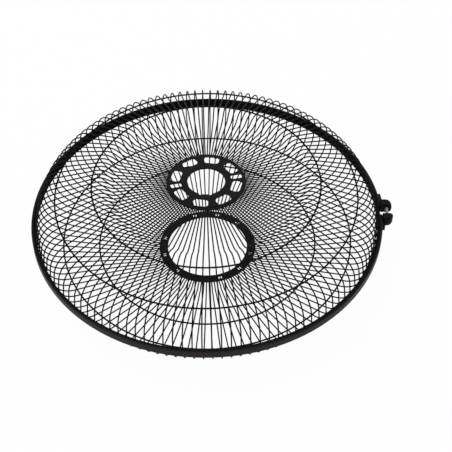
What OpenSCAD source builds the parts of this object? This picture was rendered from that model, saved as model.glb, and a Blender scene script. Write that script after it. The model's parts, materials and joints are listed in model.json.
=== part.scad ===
// Wire fan guard: two welded wire half-cages closed by a split rim band.
// Origin: on the fan axis, in the plane where the mounting disc sits on the rear spokes.
// +Z points to the rear (motor) side, -Z to the front, +X to the clamp.
// The pieces are drawn about a level plane through the cage, then moved down together.

/* [Cage] */
// Outer radius of the rim band
band_r = 217; // [196:0.5:235]
// Number of spokes in each half
spoke_count = 120; // [96:8:120]
// Wire diameter of the spokes
spoke_d = 1.6; // [1.2:0.1:2]
// Wire diameter of the hoops
hoop_d = 2; // [1.6:0.1:3]
// Wire diameter of the two rim rings
rim_d = 4.4; // [4:0.1:5]
// Radius of the bend where each spoke turns down to the rim
shoulder_bend_r = 34; // [24:1:34]
// Gap left at a welded touch
weld_gap = 0.02; // [0.01:0.01:0.1]
// Gap between the two rim rings
halves_gap = 0.2; // [0.1:0.05:0.6]
// Height of the plane where the two rim rings meet, above the drawing plane
meet_z = -1.4; // [-3:0.1:0]

/* [Rear half] */
// Radius of the corner that the shoulder bend rounds off
rear_shoulder_r = 206.1; // [204:0.1:208]
// Height of that corner
rear_shoulder_z = 33.9; // [32:0.1:40]
// Slope of the rear spokes
rear_slope = 19.7; // [14:0.1:24]
// Height of the sunk flat middle of the rear spokes
rear_flat_z = 54.2; // [50:0.1:56]
// Radius where the rear spokes start to step up
rear_step_r = 113; // [105:1:118]
// Slope of the step in the rear spokes
rear_step_slope = 30; // [24:1:40]
// Radius of the inner rear hoop
rear_hoop_inner_r = 138.9; // [134:0.1:146]
// Radius of the outer rear hoop
rear_hoop_outer_r = 184.4; // [170:0.1:186]

/* [Front half] */
// Radius of the corner that the shoulder bend rounds off
front_shoulder_r = 206.5; // [206:0.1:208]
// Depth of that corner
front_shoulder_z = 34.3; // [33:0.1:40]
// Slope of the front spokes
front_slope = 12; // [8:0.1:16]
// Depth of the flat middle of the front spokes
front_flat_z = 60.4; // [56:0.1:61]
// Radius where the front spokes start to step out
front_step_r = 66; // [64:0.5:72]
// Slope of the step in the front spokes
front_step_slope = 28; // [22:1:36]
// Radius of the inner front hoop
front_hoop_inner_r = 137; // [120:0.1:150]
// Radius of the outer front hoop
front_hoop_outer_r = 181.4; // [165:0.1:184]

/* [Mounting disc] */
// Outer radius of the disc
disc_r = 48; // [46:0.5:54]
// Radius of the centre hole
disc_hole_r = 22.9; // [20:0.1:24]
// Sheet thickness of the disc
disc_t = 1.2; // [0.8:0.1:2]
// Height of the raised middle of the disc above its flange
disc_rise = 1; // [0.4:0.1:1.2]
// Depth of the collar turned in around the centre hole
collar_h = 2.4; // [1.6:0.1:3]
// Radius of the circle through the slots
slot_circle_r = 37.2; // [36:0.1:38.5]
// Length of each large slot, measured around the disc
slot_len = 18.6; // [14:0.1:20]
// Width of each large slot, measured along the radius
slot_w = 11.6; // [9:0.1:12]
// Length of each small slot, measured along the radius
small_slot_len = 14; // [10:0.1:14.4]
// Width of each small slot
small_slot_w = 6.6; // [4:0.1:7]
// Width of the two locating notches in the centre hole
notch_w = 3.6; // [2:0.1:5]
// Depth of the two locating notches
notch_depth = 1.6; // [0.8:0.1:2.4]

/* [Badge ring] */
// Inner radius of the badge ring
ring_hole_r = 50.4; // [46:0.1:52]
// Outer radius of the badge ring
ring_r = 61.4; // [60:0.1:64]
// Sheet thickness of the badge ring
ring_t = 1; // [0.8:0.1:1.6]
// Length of the badge clip slots
clip_slot_len = 6; // [4:0.1:8]
// Width of the badge clip slots
clip_slot_w = 3.6; // [2:0.1:5]

/* [Rim band] */
// Sheet thickness of the rim band
band_t = 1.2; // [0.8:0.1:1.2]
// How far the rear lip of the band reaches in from its outside
rear_lip = 3.5; // [3:0.1:5]
// How far the front lip of the band reaches in from its outside
front_lip = 5.8; // [3:0.1:6]
// Clearance between the lips of the band and the rim rings
lip_gap = 0.05; // [0.05:0.05:0.3]
// Clearance between the inside of the band and the rim rings, along the radius
band_gap = 0.6; // [0.6:0.1:0.8]
// How far the clamp side of the band stands off centre
band_shift = 0.5; // [0:0.1:0.5]
// Width of the split in the band
split_w = 15; // [12:0.5:20]

/* [Clamp] */
// How far the clamp lugs stand out from the band
lug_out = 13.2; // [12:0.1:18]
// Thickness of each lug along the rim
lug_t = 8.5; // [8.5:0.5:11]
// Height of each lug
lug_h = 14; // [13:0.5:16]
// Height of the middle of the lugs above that of the band
lug_rise = 1.1; // [0:0.1:1.5]
// Length of the foot of the plain lug along the band
plain_foot = 14; // [6:0.5:18]
// Length of the foot of the tapped lug along the band
tapped_foot = 10; // [6:0.5:18]
// Thickness of the foot of each lug
foot_t = 3; // [1.5:0.1:3.5]
// Radius of the rounded back of each lug
lug_round = 8.4; // [4:0.1:8.4]
// Depth of the tapped hole
tap_depth = 7; // [5:0.5:7.5]
// Radius of the outer corners on the face of each lug
lug_corner = 5; // [1:0.5:6]
// Diameter of the clamp screw
screw_d = 4; // [3:0.1:5]
// Distance from the outside of the band to the screw
screw_out = 6.8; // [6.5:0.1:8]
// Clearance of the screw in the plain lug
screw_clearance = 0.4; // [0.2:0.1:0.8]
// Diameter of the screw head
screw_head_d = 7; // [5.5:0.1:8]
// Height of the screw head
screw_head_h = 2.6; // [2:0.1:3.5]
// Outer diameter of the washer under the screw head
washer_d = 8; // [8:0.1:10]
// Thickness of the washer
washer_t = 0.8; // [0.5:0.1:1.2]

/* [Hidden] */
$fn = 96;
// Facets around the widest arcs of the lugs
wide_fn = 384;
sectors = 8;

// Azimuth of the first spoke of each half
rear_phase = 1.6;
front_phase = 1.9;

// Rim rings, in the halves' own radius and height
rim_r = band_r - band_t - band_gap - rim_d / 2;
rim_z = (halves_gap + rim_d) / 2;
rear_rim_centre = [rim_r, meet_z + rim_z];
front_rim_centre = [rim_r, rim_z - meet_z];
rear_shoulder = [rear_shoulder_r, rear_shoulder_z];
front_shoulder = [front_shoulder_r, front_shoulder_z];
// How far the spokes run on past their weld to the rim ring
spoke_past_rim = 1.5;
band_h = 2 * (rim_d + band_t + lip_gap) + halves_gap;
// Distance between the centre lines of a spoke and a hoop at their weld
weld_offset = (spoke_d + hoop_d) / 2 + weld_gap;
// Bends at the foot and at the crest of the step in the spokes
rear_foot_bend_r = 10;
rear_crest_bend_r = 16;
front_foot_bend_r = 6;
front_crest_bend_r = 6;
// Each run of a spoke is tucked this far into its bends, which are this much thicker,
// so that every spoke is one solid
run_tuck = 0.3;
bend_swell = 0.03;
// The spokes end this far inside the rim of the disc, or of the badge ring
spoke_lap = 3.6;
spoke_ring_lap = 7.6;

// Seats of the pressed sheet pieces on the flat middles of the spokes
disc_seat_z = rear_flat_z + spoke_d / 2 + weld_gap;
ring_seat_z = -front_flat_z + spoke_d / 2 + weld_gap;
// Slots around the disc: angles either side of the small slots' axis
slot_axis = 11.4;
slot_angles = [25.5, 68.5];
slot_corner_r = 4;
small_slot_corner_r = 2.6;
// Middle of the pair of notches, and half the angle between them
notch_axis = -92.5;
notch_angle = 14.5;
// The disc's raised middle ends in a sloped shoulder this wide
disc_shoulder_w = 1.2;
disc_flange_w = 3;
// Clip slots: three like groups around the badge ring
clip_groups = 3;
clip_axis = 61;
clip_angles = [-15, 15, 46];
clip_circle_r = (ring_r + ring_hole_r) / 2;

band_corner_r = 2;
lug_front_corner_r = 1.2;
screw_r_pos = band_r + screw_out;
seat_depth = 1.6;
seat_y = split_w / 2 + lug_t - seat_depth;
seat_clearance = 0.6;
recess_w = 1;
recess_len = 4;
recess_depth = 1.3;
tap_clearance = 0.05;
// Distance from the end of the screw to the bottom of the tapped hole
screw_tip_inset = 0.6;

// Height of the sloped part of a spoke above the drawing plane, at radius r
function slope_z(r, shoulder, slope) = shoulder[1] + (shoulder[0] - r) * tan(slope);

// Radius where the sloped part meets the step
function crest_r(shoulder, slope, flat_z, step_r, step_slope) =
    (shoulder[1] + shoulder[0] * tan(slope) - flat_z + step_r * tan(step_slope))
    / (tan(slope) + tan(step_slope));

// End of a spoke whose straight run passes the inside of the rim ring a weld gap away
function spoke_end(shoulder, rim_centre) =
    let (
        to_rim = rim_centre - shoulder,
        reach = rim_d / 2 + weld_gap + spoke_d / 2,
        angle = atan2(to_rim[1], to_rim[0]) - asin(reach / norm(to_rim)),
        run = sqrt(to_rim * to_rim - reach * reach) + spoke_past_rim
    )
    shoulder + run * [cos(angle), sin(angle)];

// Corners of a spoke's centre line as [radius, height], from the rim inwards
function spoke_corners(rim_centre, shoulder, slope, flat_z, step_r, step_slope, inner_r) =
    let (crest = crest_r(shoulder, slope, flat_z, step_r, step_slope))
    [
        spoke_end(shoulder, rim_centre),
        shoulder,
        [crest, slope_z(crest, shoulder, slope)],
        [step_r, flat_z],
        [inner_r, flat_z]
    ];

function direction(a, b) = (b - a) / norm(b - a);
function angle_of(v) = atan2(v[1], v[0]);
// Signed turn of a path at corner i, in degrees
function turn_at(p, i) =
    let (
        a = angle_of(p[i] - p[i - 1]),
        b = angle_of(p[i + 1] - p[i]),
        d = b - a
    )
    d > 180 ? d - 360 : d < -180 ? d + 360 : d;
// Length that the bend at corner i takes from each of its two runs
function bend_length(p, bends, i) =
    i == 0 || i == len(p) - 1 ? 0 : bends[i - 1] * tan(abs(turn_at(p, i)) / 2);

// One straight run of wire in the plane y = 0
module straight_run(from, to, d) {
    run = to - from;
    translate([from[0], 0, from[1]])
        rotate([0, atan2(run[0], run[1]), 0])
            cylinder(h = norm(run), d = d);
}

// One bend of wire in the plane y = 0, at corner i of path p
module bend(p, bends, i, d) {
    turn = turn_at(p, i);
    r = bends[i - 1];
    side = turn > 0 ? 1 : -1;
    into = direction(p[i - 1], p[i]);
    start = p[i] - into * bend_length(p, bends, i);
    centre = start + side * r * [-into[1], into[0]];
    start_angle = angle_of(start - centre);
    translate([centre[0], 0, centre[1]])
        rotate([90, 0, 0])
            rotate([0, 0, side > 0 ? start_angle : start_angle + turn])
                rotate_extrude(angle = abs(turn))
                    translate([r, 0])
                        circle(d = d + bend_swell);
}

// A wire of diameter d bent along the corners p
module bent_wire(p, bends, d) {
    last = len(p) - 2;
    for (i = [0 : last]) {
        u = direction(p[i], p[i + 1]);
        start_cut = i == 0 ? 0 : bend_length(p, bends, i) - run_tuck;
        end_cut = i == last ? 0 : bend_length(p, bends, i + 1) - run_tuck;
        straight_run(p[i] + u * start_cut, p[i + 1] - u * end_cut, d);
    }
    for (i = [1 : len(p) - 2])
        bend(p, bends, i, d);
}

// The spokes of one sector of a half
module spoke_sector(sector, phase) {
    first = floor((sector - 1) * spoke_count / sectors);
    last = floor(sector * spoke_count / sectors) - 1;
    for (k = [first : last])
        rotate([0, 0, phase + k * 360 / spoke_count])
            children();
}

module rear_spokes(sector) {
    corners = spoke_corners(
        rear_rim_centre, rear_shoulder, rear_slope, rear_flat_z, rear_step_r, rear_step_slope,
        disc_r - spoke_lap
    );
    bends = [shoulder_bend_r, rear_crest_bend_r, rear_foot_bend_r];
    color([0.1, 0.1, 0.1])
        spoke_sector(sector, rear_phase)
            bent_wire(corners, bends, spoke_d);
}

module front_spokes(sector) {
    corners = spoke_corners(
        front_rim_centre, front_shoulder, front_slope, front_flat_z, front_step_r, front_step_slope,
        ring_r - spoke_ring_lap
    );
    bends = [shoulder_bend_r, front_crest_bend_r, front_foot_bend_r];
    color([0.1, 0.1, 0.1])
        spoke_sector(sector, front_phase)
            mirror([0, 0, 1])
                bent_wire(corners, bends, spoke_d);
}

// A ring of round wire about the fan axis
module wire_ring(r, z, d) {
    translate([0, 0, z])
        rotate_extrude()
            translate([r, 0])
                circle(d = d);
}

// A hoop welded inside the spokes where they pass radius r
module hoop(r, shoulder, slope) {
    z = slope_z(r, shoulder, slope);
    color([0.08, 0.08, 0.08])
        wire_ring(r - weld_offset * sin(slope), z - weld_offset * cos(slope), hoop_d);
}

module rear_hoop_inner() {
    hoop(rear_hoop_inner_r, rear_shoulder, rear_slope);
}

module rear_hoop_outer() {
    hoop(rear_hoop_outer_r, rear_shoulder, rear_slope);
}

module front_hoop_inner() {
    mirror([0, 0, 1])
        hoop(front_hoop_inner_r, front_shoulder, front_slope);
}

module front_hoop_outer() {
    mirror([0, 0, 1])
        hoop(front_hoop_outer_r, front_shoulder, front_slope);
}

module rear_rim() {
    color([0.07, 0.07, 0.07])
        wire_ring(rim_r, meet_z + rim_z, rim_d);
}

module front_rim() {
    color([0.07, 0.07, 0.07])
        wire_ring(rim_r, meet_z - rim_z, rim_d);
}

// A rectangle with rounded corners, centred
module rounded_rectangle(w, h, r) {
    square([w - 2 * r, h], center = true);
    square([w, h - 2 * r], center = true);
    for (x = [-1, 1], y = [-1, 1])
        translate([x * (w / 2 - r), y * (h / 2 - r)])
            circle(r = r);
}

// Half section of the pressed disc: flange, shoulder, raised middle and collar
module disc_section() {
    shoulder_r = disc_r - disc_flange_w;
    polygon([
        [disc_r, 0],
        [disc_r, disc_t],
        [shoulder_r, disc_t],
        [shoulder_r - disc_shoulder_w, disc_t + disc_rise],
        [disc_hole_r, disc_t + disc_rise],
        [disc_hole_r, disc_t + disc_rise - collar_h],
        [disc_hole_r + disc_t, disc_t + disc_rise - collar_h],
        [disc_hole_r + disc_t, disc_rise],
        [shoulder_r - disc_shoulder_w, disc_rise],
        [shoulder_r, 0]
    ]);
}

module rear_disc() {
    tall = 4 * (disc_t + collar_h);
    color([0.13, 0.13, 0.13])
        translate([0, 0, disc_seat_z])
            difference() {
                rotate_extrude()
                    disc_section();
                for (side = [0, 180], a = slot_angles, s = [-1, 1])
                    rotate([0, 0, slot_axis + side + s * a])
                        translate([slot_circle_r, 0, -tall / 2])
                            linear_extrude(tall)
                                rounded_rectangle(slot_w, slot_len, slot_corner_r);
                for (side = [0, 180])
                    rotate([0, 0, slot_axis + side])
                        translate([slot_circle_r, 0, -tall / 2])
                            linear_extrude(tall)
                                rounded_rectangle(small_slot_len, small_slot_w, small_slot_corner_r);
                for (s = [-1, 1])
                    rotate([0, 0, notch_axis + s * notch_angle])
                        translate([disc_hole_r, 0, 0])
                            cube([2 * notch_depth, notch_w, tall], center = true);
            }
}

module badge_ring() {
    color([0.12, 0.12, 0.12])
        translate([0, 0, ring_seat_z])
            difference() {
                cylinder(h = ring_t, r = ring_r);
                translate([0, 0, -ring_t])
                    cylinder(h = 3 * ring_t, r = ring_hole_r);
                for (g = [1 : clip_groups], a = clip_angles)
                    rotate([0, 0, clip_axis + g * 360 / clip_groups + a])
                        translate([clip_circle_r, 0, 0])
                            cube([clip_slot_w, clip_slot_len, 4 * ring_t], center = true);
            }
}

// Section of the rim band: a channel open towards the axis
module band_section() {
    full_w = 2 * max(rear_lip, front_lip);
    difference() {
        translate([band_r - full_w / 2, 0])
            rounded_rectangle(full_w, band_h, band_corner_r);
        translate([band_r - band_t - full_w, -band_h / 2 + band_t])
            square([full_w, band_h - 2 * band_t]);
        translate([band_r - rear_lip - full_w, 0])
            square([full_w, band_h]);
        translate([band_r - front_lip - full_w, -band_h])
            square([full_w, band_h]);
    }
}

module rim_band() {
    half_split = asin(split_w / 2 / band_r);
    color([0.22, 0.2, 0.2])
        rotate([0, 0, half_split])
            rotate_extrude(angle = 360 - 2 * half_split)
                band_section();
}

// Plan of a lug on the +Y side of the split, without its foot
module lug_plan() {
    inner_x = band_r - foot_t;
    outer_x = band_r + lug_out;
    front_y = split_w / 2;
    back_y = front_y + lug_t;
    difference() {
        translate([inner_x, front_y])
            square([outer_x - inner_x, lug_t]);
        translate([outer_x - lug_round, back_y - lug_round])
            corner_waste(lug_round);
        translate([outer_x - lug_front_corner_r, front_y + lug_front_corner_r])
            mirror([0, 1])
                corner_waste(lug_front_corner_r);
    }
}

// What rounding a corner at [r, r] to radius r takes away
module corner_waste(r) {
    difference() {
        square([2 * r, 2 * r]);
        circle(r = r);
    }
}

// Face of a lug, seen along the rim, in its own x and z
module lug_face() {
    depth = 2 * (lug_out + foot_t);
    translate([band_r + lug_out - depth / 2, lug_rise])
        rounded_rectangle(depth, lug_h, lug_corner);
}

module lug_body(foot) {
    half_split = asin(split_w / 2 / band_r);
    foot_angle = (lug_t + foot) / band_r * 180 / PI;
    difference() {
        union() {
            intersection() {
                translate([0, 0, lug_rise - lug_h / 2])
                    linear_extrude(lug_h)
                        lug_plan();
                rotate([90, 0, 0])
                    translate([0, 0, -split_w - 2 * lug_t])
                        linear_extrude(2 * (split_w + 2 * lug_t))
                            lug_face();
            }
            rotate([0, 0, half_split])
                rotate_extrude(angle = foot_angle, $fn = wide_fn)
                    translate([band_r - foot_t, -band_h / 2 + band_corner_r])
                        square([2 * foot_t, band_h - 2 * band_corner_r]);
        }
        cylinder(h = 4 * lug_h, r = band_r + weld_gap, center = true, $fn = wide_fn);
    }
}

// A round bar along Y through the screw's line, from y = from to y = to
module along_screw(from, to, d) {
    translate([screw_r_pos, from, 0])
        rotate([-90, 0, 0])
            cylinder(h = to - from, d = d);
}

module clamp_lug_plain() {
    color([0.12, 0.12, 0.12])
        difference() {
            lug_body(plain_foot);
            along_screw(0, split_w / 2 + 2 * lug_t, screw_d + screw_clearance);
            along_screw(seat_y, split_w / 2 + 2 * lug_t, washer_d + seat_clearance);
        }
}

module clamp_lug_tapped() {
    color([0.12, 0.12, 0.12])
        difference() {
            mirror([0, 1, 0])
                lug_body(tapped_foot);
            along_screw(-split_w / 2 - tap_depth, 0, screw_d + 2 * tap_clearance);
        }
}

module screw_washer() {
    color([0.72, 0.75, 0.78])
        difference() {
            along_screw(seat_y, seat_y + washer_t, washer_d);
            along_screw(seat_y - washer_t, seat_y + 2 * washer_t, screw_d + screw_clearance);
        }
}

module clamp_screw() {
    head_y = seat_y + washer_t;
    color([0.75, 0.78, 0.82])
        difference() {
            union() {
                along_screw(-split_w / 2 - tap_depth + screw_tip_inset, head_y, screw_d);
                along_screw(head_y, head_y + screw_head_h, screw_head_d);
            }
            translate([screw_r_pos, head_y + screw_head_h, 0]) {
                cube([recess_w, 2 * recess_depth, recess_len], center = true);
                cube([recess_len, 2 * recess_depth, recess_w], center = true);
            }
        }
}

// Down to the part's own frame: the seat of the mounting disc at height 0
translate([0, 0, -disc_seat_z]) {
    rear_disc();
    rear_hoop_inner();
    rear_hoop_outer();
    rear_rim();
    for (i = [1:sectors])
        rear_spokes(i);
    badge_ring();
    front_hoop_inner();
    front_hoop_outer();
    front_rim();
    for (i = [1:sectors])
        front_spokes(i);
    translate([band_shift, 0, meet_z]) {
        rim_band();
        clamp_lug_plain();
        clamp_lug_tapped();
        clamp_screw();
        screw_washer();
    }
}
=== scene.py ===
"""Wire fan guard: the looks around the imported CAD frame."""

import json
import math
import random

import bmesh
import bpy
from mathutils import Matrix, Vector


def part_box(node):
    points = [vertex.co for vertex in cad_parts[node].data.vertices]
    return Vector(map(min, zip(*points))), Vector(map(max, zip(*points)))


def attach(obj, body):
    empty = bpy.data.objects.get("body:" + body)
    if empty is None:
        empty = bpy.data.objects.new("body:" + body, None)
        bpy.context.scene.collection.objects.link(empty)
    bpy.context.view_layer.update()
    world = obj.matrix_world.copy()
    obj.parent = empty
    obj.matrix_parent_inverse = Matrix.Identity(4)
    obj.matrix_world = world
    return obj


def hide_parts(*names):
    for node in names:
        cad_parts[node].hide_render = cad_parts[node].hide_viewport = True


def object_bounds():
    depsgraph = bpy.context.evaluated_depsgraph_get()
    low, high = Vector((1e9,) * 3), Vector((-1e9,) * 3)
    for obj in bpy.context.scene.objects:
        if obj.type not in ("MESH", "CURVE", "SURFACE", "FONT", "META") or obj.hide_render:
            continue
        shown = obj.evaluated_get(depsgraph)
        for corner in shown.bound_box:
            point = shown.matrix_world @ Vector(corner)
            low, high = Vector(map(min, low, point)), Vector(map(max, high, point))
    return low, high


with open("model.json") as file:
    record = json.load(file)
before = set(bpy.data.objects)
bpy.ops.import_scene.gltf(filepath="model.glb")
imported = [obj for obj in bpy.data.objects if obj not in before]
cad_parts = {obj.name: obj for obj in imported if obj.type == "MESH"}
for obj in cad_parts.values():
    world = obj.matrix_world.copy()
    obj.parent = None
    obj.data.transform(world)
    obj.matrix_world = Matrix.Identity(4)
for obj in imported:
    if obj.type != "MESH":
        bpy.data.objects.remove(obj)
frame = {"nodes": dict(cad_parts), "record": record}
cad_low, cad_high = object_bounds()
nodes = frame["nodes"]
random.seed(7)

MM = 0.001
SPOKES = 120
REAR_PHASE = 1.6
FRONT_PHASE = 1.9
REAR_SLOPE = math.radians(19.7)
FRONT_SLOPE = math.radians(12.0)
# Radius at which textures are unrolled around the fan axis
UNROLL_RADIUS = 0.215
# Stretch of the band's rolling marks along the rim, along the radius and in height; they break
# up the painted reflection on the band's outer face
BAND_GRAIN = (14.0, 300.0, 520.0)
DUST_COLOUR = (0.1, 0.098, 0.094)


# ---------------------------------------------------------------- node helpers
class Tree:
    """A short way to write a material's nodes."""

    def __init__(self, name):
        self.material = bpy.data.materials.new(name)
        self.material.use_nodes = True
        self.tree = self.material.node_tree
        self.tree.nodes.clear()
        self.output = self.add("ShaderNodeOutputMaterial")

    def add(self, kind, **settings):
        node = self.tree.nodes.new(kind)
        for key, value in settings.items():
            setattr(node, key, value)
        return node

    def link(self, source, target):
        self.tree.links.new(source, target)

    def place(self):
        return self.add("ShaderNodeTexCoord").outputs["Object"]

    def stretched(self, vector, scale):
        node = self.add("ShaderNodeMapping")
        node.inputs["Scale"].default_value = scale
        self.link(vector, node.inputs["Vector"])
        return node.outputs["Vector"]

    def noise(self, vector, scale, detail=4.0, roughness=0.55, distortion=0.0):
        node = self.add("ShaderNodeTexNoise")
        node.inputs["Scale"].default_value = scale
        node.inputs["Detail"].default_value = detail
        node.inputs["Roughness"].default_value = roughness
        node.inputs["Distortion"].default_value = distortion
        self.link(vector, node.inputs["Vector"])
        return node.outputs["Fac"]

    def ramp(self, fac, stops):
        node = self.add("ShaderNodeValToRGB")
        elements = node.color_ramp.elements
        while len(elements) < len(stops):
            elements.new(0.5)
        for element, (position, colour) in zip(elements, stops):
            element.position = position
            element.color = (*colour, 1.0) if len(colour) == 3 else colour
        self.link(fac, node.inputs["Fac"])
        return node.outputs["Color"]

    def span(self, value, low, high, new_low, new_high):
        node = self.add("ShaderNodeMapRange")
        for name, number in (
            ("From Min", low),
            ("From Max", high),
            ("To Min", new_low),
            ("To Max", new_high),
        ):
            node.inputs[name].default_value = number
        self.link(value, node.inputs["Value"])
        return node.outputs["Result"]

    def math(self, operation, a, b=None, c=None):
        node = self.add("ShaderNodeMath", operation=operation)
        for socket, value in zip(node.inputs, (a, b, c)):
            if value is None:
                continue
            if isinstance(value, (int, float)):
                socket.default_value = value
            else:
                self.link(value, socket)
        return node.outputs["Value"]

    def blend(self, fac, a, b):
        node = self.add("ShaderNodeMix", data_type="RGBA")
        sockets = [s for s in node.inputs if s.enabled]
        for socket, value in zip(sockets, (fac, a, b)):
            if isinstance(value, (int, float)):
                socket.default_value = value
            elif isinstance(value, tuple):
                socket.default_value = (*value, 1.0)
            else:
                self.link(value, socket)
        return next(s for s in node.outputs if s.enabled)

    def bump(self, height, strength, distance, below=None):
        node = self.add("ShaderNodeBump")
        node.inputs["Strength"].default_value = strength
        node.inputs["Distance"].default_value = distance
        self.link(height, node.inputs["Height"])
        if below is not None:
            self.link(below, node.inputs["Normal"])
        return node.outputs["Normal"]

    def shader(self, colour, roughness, normal, metallic=0.0, specular=0.5):
        node = self.add("ShaderNodeBsdfPrincipled")
        node.inputs["Metallic"].default_value = metallic
        node.inputs["Specular IOR Level"].default_value = specular
        self.link(colour, node.inputs["Base Color"])
        self.link(roughness, node.inputs["Roughness"])
        self.link(normal, node.inputs["Normal"])
        self.link(node.outputs["BSDF"], self.output.inputs["Surface"])
        return self.material


def upward(tree):
    """1 where a surface faces up, 0 where it faces sideways or down."""
    normal = tree.add("ShaderNodeNewGeometry").outputs["Normal"]
    split = tree.add("ShaderNodeSeparateXYZ")
    tree.link(normal, split.inputs["Vector"])
    return tree.span(split.outputs["Z"], 0.2, 0.95, 0.0, 1.0)


def outward(tree):
    """1 where a surface faces away from the fan axis, 0 where it faces up, down or the axis."""
    flat = tree.add("ShaderNodeVectorMath", operation="MULTIPLY")
    flat.inputs[1].default_value = (1.0, 1.0, 0.0)
    tree.link(tree.place(), flat.inputs[0])
    unit = tree.add("ShaderNodeVectorMath", operation="NORMALIZE")
    tree.link(flat.outputs["Vector"], unit.inputs[0])
    dot = tree.add("ShaderNodeVectorMath", operation="DOT_PRODUCT")
    tree.link(tree.add("ShaderNodeNewGeometry").outputs["Normal"], dot.inputs[0])
    tree.link(unit.outputs["Vector"], dot.inputs[1])
    return tree.span(dot.outputs["Value"], 0.25, 0.95, 0.0, 1.0)


def around_axis(tree):
    """Texture place unrolled about the fan axis: arc length, radius, height."""
    split = tree.add("ShaderNodeSeparateXYZ")
    tree.link(tree.place(), split.inputs["Vector"])
    x, y, z = (split.outputs[k] for k in "XYZ")
    angle = tree.math("ARCTAN2", y, x)
    squares = tree.math("ADD", tree.math("MULTIPLY", x, x), tree.math("MULTIPLY", y, y))
    radius = tree.math("SQRT", squares)
    join = tree.add("ShaderNodeCombineXYZ")
    tree.link(tree.math("MULTIPLY", angle, UNROLL_RADIUS), join.inputs["X"])
    tree.link(radius, join.inputs["Y"])
    tree.link(z, join.inputs["Z"])
    return join.outputs["Vector"]


def coated(name, dark, light, gloss, specular, peel=0.25, dust=0.002, outer=None):
    """Stoved black coating: soft mottling, orange peel, a breath of dust on top.

    outer is a lighter colour painted on faces that look away from the fan axis, where there is
    one: a painted reflection of the bright floor and surroundings.
    """
    t = Tree(name)
    place = t.place()
    mottle = t.noise(place, 38.0, 5.0, 0.6)
    colour = t.ramp(mottle, [(0.32, dark), (0.68, light)])
    fine = t.noise(place, 620.0, 3.0, 0.6)
    if outer:
        # Painted reflection: faces that look away from the axis take the lighter outer colour,
        # broken up by the rolling marks
        grain = t.noise(t.stretched(around_axis(t), BAND_GRAIN), 1.0, 6.0, 0.65)
        painted_outer_sheen = t.math("MULTIPLY", outward(t), t.span(grain, 0.3, 0.7, 0.6, 1.0))
        colour = t.blend(painted_outer_sheen, colour, outer)
    specks = t.span(t.noise(place, 150.0, 6.0, 0.7), 0.45, 0.75, 0.0, 1.0)
    dusty = t.math("MULTIPLY", upward(t), specks)
    colour = t.blend(t.math("MULTIPLY", dusty, dust * 10), colour, DUST_COLOUR)
    rough = t.span(fine, 0.3, 0.7, gloss - 0.05, gloss + 0.06)
    rough = t.math("ADD", rough, t.math("MULTIPLY", dusty, 0.12))
    normal = t.bump(fine, peel, 0.00006)
    normal = t.bump(t.noise(place, 95.0, 3.0), 0.18, 0.0003, normal)
    return t.shader(colour, rough, normal, specular=specular)


wire_coat = coated(
    "coated_wire", (0.0022, 0.0022, 0.0024), (0.0044, 0.0043, 0.0044), 0.36, 0.03
)
sheet_coat = coated(
    "coated_sheet", (0.0052, 0.0052, 0.0056), (0.0088, 0.0086, 0.0088), 0.42, 0.04
)
lug_coat = coated(
    "lug_coating", (0.0028, 0.0028, 0.003), (0.0052, 0.0051, 0.0052), 0.38, 0.04
)
band_coat = coated(
    "band_coating",
    (0.003, 0.0028, 0.0028),
    (0.0052, 0.0048, 0.0048),
    0.4,
    0.05,
    # outer: painted reflection, a lighter brown painted on the band's outward faces
    outer=(0.03, 0.0235, 0.0235),
)


def zinc(name):
    """Bright zinc plating with turning marks and faint blue passivation."""
    t = Tree(name)
    place = t.place()
    tone = t.noise(place, 260.0, 5.0, 0.6)
    tones = [(0.3, (0.24, 0.29, 0.33)), (0.55, (0.34, 0.39, 0.43)), (0.75, (0.42, 0.44, 0.43))]
    colour = t.ramp(tone, tones)
    marks = t.noise(t.stretched(place, (5200.0, 400.0, 5200.0)), 1.0, 4.0, 0.6)
    rough = t.span(marks, 0.3, 0.7, 0.24, 0.4)
    normal = t.bump(marks, 0.2, 0.00003)
    return t.shader(colour, rough, normal, metallic=1.0)


zinc_plate = zinc("zinc_plate")

coats = {
    "coated_wire": wire_coat,
    "coated_sheet": sheet_coat,
    "band_sheet": band_coat,
    "clamp_lugs": lug_coat,
    "zinc_plate": zinc_plate,
}
slot_of = {row["node"]: row["material_slot"] for row in frame["record"]["subparts"]}
for name, node in nodes.items():
    node.data.materials.clear()
    node.data.materials.append(coats[slot_of[name]])


# ---------------------------------------------------------------- CAD edges
def soften(node, width, segments=2, angle=32):
    """Rounds a CAD node's hard edges with modifiers, so that they catch light."""
    weld = node.modifiers.new("weld", "WELD")
    weld.merge_threshold = 2e-6
    flat = node.modifiers.new("flat", "DECIMATE")
    flat.decimate_type = "DISSOLVE"
    flat.angle_limit = math.radians(0.5)
    bevel = node.modifiers.new("bevel", "BEVEL")
    bevel.width = width
    bevel.segments = segments
    bevel.limit_method = "ANGLE"
    bevel.angle_limit = math.radians(angle)
    bevel.harden_normals = False


# ---------------------------------------------------------------- weld nuggets
def ring_place(node):
    """Centre-line radius, height and wire radius of a CAD ring of round wire."""
    low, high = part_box(node)
    wire = (high.z - low.z) / 2
    return high.x - wire, (high.z + low.z) / 2, wire


def nugget(bm, place, radial, normal, size):
    """A small flattened bead: size is its radii along the hoop, the spoke and the normal."""
    tangent = normal.cross(radial).normalized()
    along = tangent.cross(normal).normalized()
    frame_of = Matrix((tangent, along, normal)).transposed().to_4x4()
    frame_of.translation = place
    scale = Matrix.Diagonal((*size, 1.0))
    bmesh.ops.create_icosphere(bm, subdivisions=2, radius=1.0, matrix=frame_of @ scale)


def new_piece(name, bm, material, smooth=True):
    mesh = bpy.data.meshes.new(name)
    bm.to_mesh(mesh)
    bm.free()
    for face in mesh.polygons:
        face.use_smooth = smooth
    piece = bpy.data.objects.new(name, mesh)
    bpy.context.scene.collection.objects.link(piece)
    mesh.materials.append(material)
    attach(piece, "root")
    return piece


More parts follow.
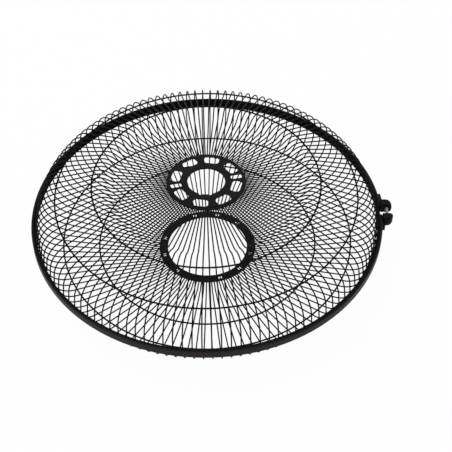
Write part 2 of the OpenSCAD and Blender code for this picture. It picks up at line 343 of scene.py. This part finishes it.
def welds(half, phase, slope, up):
    """Weld beads where the spokes of one half meet its hoops and its rim ring."""
    bm = bmesh.new()
    rings = [ring_place(f"{half}_hoop_inner"), ring_place(f"{half}_hoop_outer")]
    rim_radius, rim_height, rim_wire = ring_place(f"{half}_rim")
    for k in range(SPOKES):
        a = math.radians(phase + 360 / SPOKES * k)
        out = Vector((math.cos(a), math.sin(a), 0.0))
        for radius, height, wire in rings:
            normal = out * math.sin(slope) + Vector((0, 0, up * math.cos(slope)))
            place = out * radius + Vector((0, 0, height)) + normal * wire
            grow = 1 + random.uniform(-0.08, 0.12)
            nugget(bm, place, out, normal, (1.05 * MM * grow, 0.95 * MM * grow, 0.32 * MM))
        place = out * (rim_radius - rim_wire) + Vector((0, 0, rim_height))
        nugget(bm, place, Vector((0, 0, 1)), -out, (0.95 * MM, 1.5 * MM, 0.4 * MM))
    return new_piece(f"{half}_welds", bm, wire_coat)


welds("rear", REAR_PHASE, REAR_SLOPE, 1)
welds("front", FRONT_PHASE, FRONT_SLOPE, -1)


# ---------------------------------------------------------------- clamp screw
THREAD_PITCH = 0.7 * MM
THREAD_DEPTH = 0.38 * MM
# Outer radius of the thread, which is that of the plain CAD shank
CREST_RADIUS = 2.0 * MM
AROUND = 36


def thread_depth(phase):
    """How far below the crest the thread lies at this share of a turn."""
    phase %= 1.0
    if phase < 0.18:
        return 0.0
    if phase < 0.5:
        return (phase - 0.18) / 0.32 * THREAD_DEPTH
    if phase < 0.62:
        return THREAD_DEPTH
    return (1.0 - phase) / 0.38 * THREAD_DEPTH


def screw():
    """The clamp screw with its thread and a cross recess, in place of the plain CAD one."""
    low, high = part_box("clamp_screw")
    washer_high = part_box("screw_washer")[1]
    axis_x, axis_z = (low.x + high.x) / 2, (low.z + high.z) / 2
    head_radius = (high.z - low.z) / 2
    head_start = washer_high.y
    rows = []
    steps = int((head_start - low.y) / THREAD_PITCH * 10)
    for i in range(steps + 1):
        y = low.y + (head_start - low.y) * i / steps
        tip = min(1.0, (y - low.y) / (0.9 * MM))
        run_out = min(1.0, max(0.0, (head_start - y) / (1.4 * MM)))
        rows.append((y, CREST_RADIUS, 0.45 * MM * (1 - tip), run_out))
    profile = (
        (1.0, 0.0),
        (1.0, 0.52),
        (0.985, 0.66),
        (0.93, 0.8),
        (0.83, 0.9),
        (0.66, 0.96),
        (0.4, 0.99),
        (0.1, 1.0),
    )
    head_height = high.y - head_start
    for share, rise in profile:
        rows.append((head_start + head_height * rise, head_radius * share, 0.0, 0.0))
    bm = bmesh.new()
    grid = []
    for y, radius, taper, threaded in rows:
        ring = []
        for j in range(AROUND):
            turn = j / AROUND
            cut = thread_depth(y / THREAD_PITCH - turn) * threaded if threaded else 0.0
            r = radius - taper - cut
            a = 2 * math.pi * turn
            ring.append(bm.verts.new((axis_x + r * math.cos(a), y, axis_z + r * math.sin(a))))
        grid.append(ring)
    for upper, lower in zip(grid[1:], grid[:-1]):
        for j in range(AROUND):
            n = (j + 1) % AROUND
            bm.faces.new((lower[j], upper[j], upper[n], lower[n]))
    bm.faces.new(grid[0])
    bm.faces.new(list(reversed(grid[-1])))
    bmesh.ops.recalc_face_normals(bm, faces=bm.faces)
    piece = new_piece("clamp_screw_threaded", bm, zinc_plate)
    cutter = bmesh.new()
    deep = 1.5 * MM
    for width, length in ((0.95, 4.0), (4.0, 0.95)):
        box = bmesh.ops.create_cube(cutter, size=1.0)["verts"]
        for v in box:
            wide = 1.0 if v.co.y > 0 else 0.62
            v.co = (
                axis_x + v.co.x * width * MM * (wide if width > 1 else 1.0),
                high.y + (v.co.y - 0.2) * 2 * deep * 0.72,
                axis_z + v.co.z * length * MM * (wide if length > 1 else 1.0),
            )
    cut_mesh = bpy.data.meshes.new("recess_cutter")
    cutter.to_mesh(cut_mesh)
    cutter.free()
    tool = bpy.data.objects.new("recess_cutter", cut_mesh)
    bpy.context.scene.collection.objects.link(tool)
    recess = piece.modifiers.new("recess", "BOOLEAN")
    recess.operation = "DIFFERENCE"
    recess.solver = "EXACT"
    recess.use_self = True
    recess.object = tool
    graph = bpy.context.evaluated_depsgraph_get()
    made = bpy.data.meshes.new_from_object(piece.evaluated_get(graph))
    piece.modifiers.clear()
    piece.data = made
    made.set_sharp_from_angle(angle=math.radians(35))
    bpy.data.objects.remove(tool)
    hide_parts("clamp_screw")
    return piece


screw()
for name in ("rear_disc", "badge_ring"):
    soften(nodes[name], 0.22 * MM)
for name in ("clamp_lug_plain", "clamp_lug_tapped"):
    soften(nodes[name], 0.45 * MM, 3)
soften(nodes["screw_washer"], 0.12 * MM)

# ---------------------------------------------------------------- floor and light
def floor():
    bm = bmesh.new()
    bmesh.ops.create_grid(bm, x_segments=1, y_segments=1, size=6.0)
    mesh = bpy.data.meshes.new("floor")
    bm.to_mesh(mesh)
    bm.free()
    ground = bpy.data.objects.new("floor", mesh)
    ground.location.z = cad_low.z
    bpy.context.scene.collection.objects.link(ground)
    t = Tree("floor_paper")
    soft = t.add("ShaderNodeBsdfDiffuse")
    soft.inputs["Color"].default_value = (0.95, 0.95, 0.95, 1)
    glow = t.add("ShaderNodeEmission")
    glow.inputs["Color"].default_value = (1, 1, 1, 1)
    rays = t.add("ShaderNodeLightPath")
    seen = t.math("MAXIMUM", rays.outputs["Is Camera Ray"], rays.outputs["Is Glossy Ray"])
    seen = t.math("MAXIMUM", seen, rays.outputs["Is Transmission Ray"])
    mix = t.add("ShaderNodeMixShader")
    t.link(t.math("MULTIPLY", seen, FLOOR_LIFT), mix.inputs["Fac"])
    t.link(soft.outputs["BSDF"], mix.inputs[1])
    t.link(glow.outputs["Emission"], mix.inputs[2])
    t.link(mix.outputs["Shader"], t.output.inputs["Surface"])
    mesh.materials.append(t.material)
    return ground


# How much of the floor's seen colour is its own white and not the light on it
FLOOR_LIFT = 0.96
floor()

def studio():
    """White surroundings for the eye and for reflections, softer as a light."""
    world = bpy.data.worlds.new("studio")
    bpy.context.scene.world = world
    world.use_nodes = True
    tree = world.node_tree
    tree.nodes.clear()
    rays = tree.nodes.new("ShaderNodeLightPath")
    pick = tree.nodes.new("ShaderNodeMixShader")
    shades = (((0.98, 0.99, 1.0, 1), 0.6), ((1, 1, 1, 1), 1.0))
    for slot_number, (colour, strength) in enumerate(shades, start=1):
        back = tree.nodes.new("ShaderNodeBackground")
        back.inputs["Color"].default_value = colour
        back.inputs["Strength"].default_value = strength
        tree.links.new(back.outputs[0], pick.inputs[slot_number])
    seen = rays.outputs["Is Camera Ray"]
    for kind in ("Is Glossy Ray", "Is Transmission Ray"):
        either = tree.nodes.new("ShaderNodeMath")
        either.operation = "MAXIMUM"
        tree.links.new(seen, either.inputs[0])
        tree.links.new(rays.outputs[kind], either.inputs[1])
        seen = either.outputs[0]
    tree.links.new(seen, pick.inputs["Fac"])
    out = tree.nodes.new("ShaderNodeOutputWorld")
    tree.links.new(pick.outputs[0], out.inputs["Surface"])


studio()


def softbox(name, place, target, size, watts):
    lamp = bpy.data.lights.new(name, "AREA")
    lamp.shape = "RECTANGLE"
    lamp.size, lamp.size_y = size
    lamp.energy = watts
    thing = bpy.data.objects.new(name, lamp)
    thing.location = place
    thing.rotation_mode = "QUATERNION"
    thing.rotation_quaternion = (Vector(target) - Vector(place)).to_track_quat("-Z", "Y")
    bpy.context.scene.collection.objects.link(thing)
    return thing


softbox("key", (-0.9, -0.2, 1.9), (0, 0, -0.05), (1.4, 1.4), 18.0)
softbox("back_strip", (0.5, 1.8, 1.0), (0, 0, -0.05), (1.8, 0.7), 8.0)

# ---------------------------------------------------------------- camera
# The view turns about a point on the axis, just above the plane where the halves meet
ABOVE_MEETING_PLANE = 1.4 * MM
meeting_plane = (ring_place("rear_rim")[1] + ring_place("front_rim")[1]) / 2
view_level = meeting_plane + ABOVE_MEETING_PLANE
VIEW_AZIMUTH = math.radians(0.9)
VIEW_ELEVATION = math.radians(46.02)
VIEW_DISTANCE = 1.3725
VIEW_ROLL = math.radians(-0.133)
aim = Vector((0.0236, -0.0211, view_level))
stand = Vector(
    (
        VIEW_DISTANCE * math.cos(VIEW_ELEVATION) * math.sin(VIEW_AZIMUTH),
        -VIEW_DISTANCE * math.cos(VIEW_ELEVATION) * math.cos(VIEW_AZIMUTH),
        VIEW_DISTANCE * math.sin(VIEW_ELEVATION) + view_level,
    )
)
lens = bpy.data.cameras.new("camera")
lens.lens = 87.91
lens.sensor_width = 36.0
lens.clip_start = 0.01
camera = bpy.data.objects.new("camera", lens)
camera.location = stand
camera.rotation_mode = "QUATERNION"
turn = (aim - stand).to_track_quat("-Z", "Y").to_matrix()
camera.rotation_quaternion = (turn @ Matrix.Rotation(VIEW_ROLL, 3, "Z")).to_quaternion()
bpy.context.scene.collection.objects.link(camera)
bpy.context.scene.camera = camera
bpy.context.scene.view_settings.view_transform = "Standard"
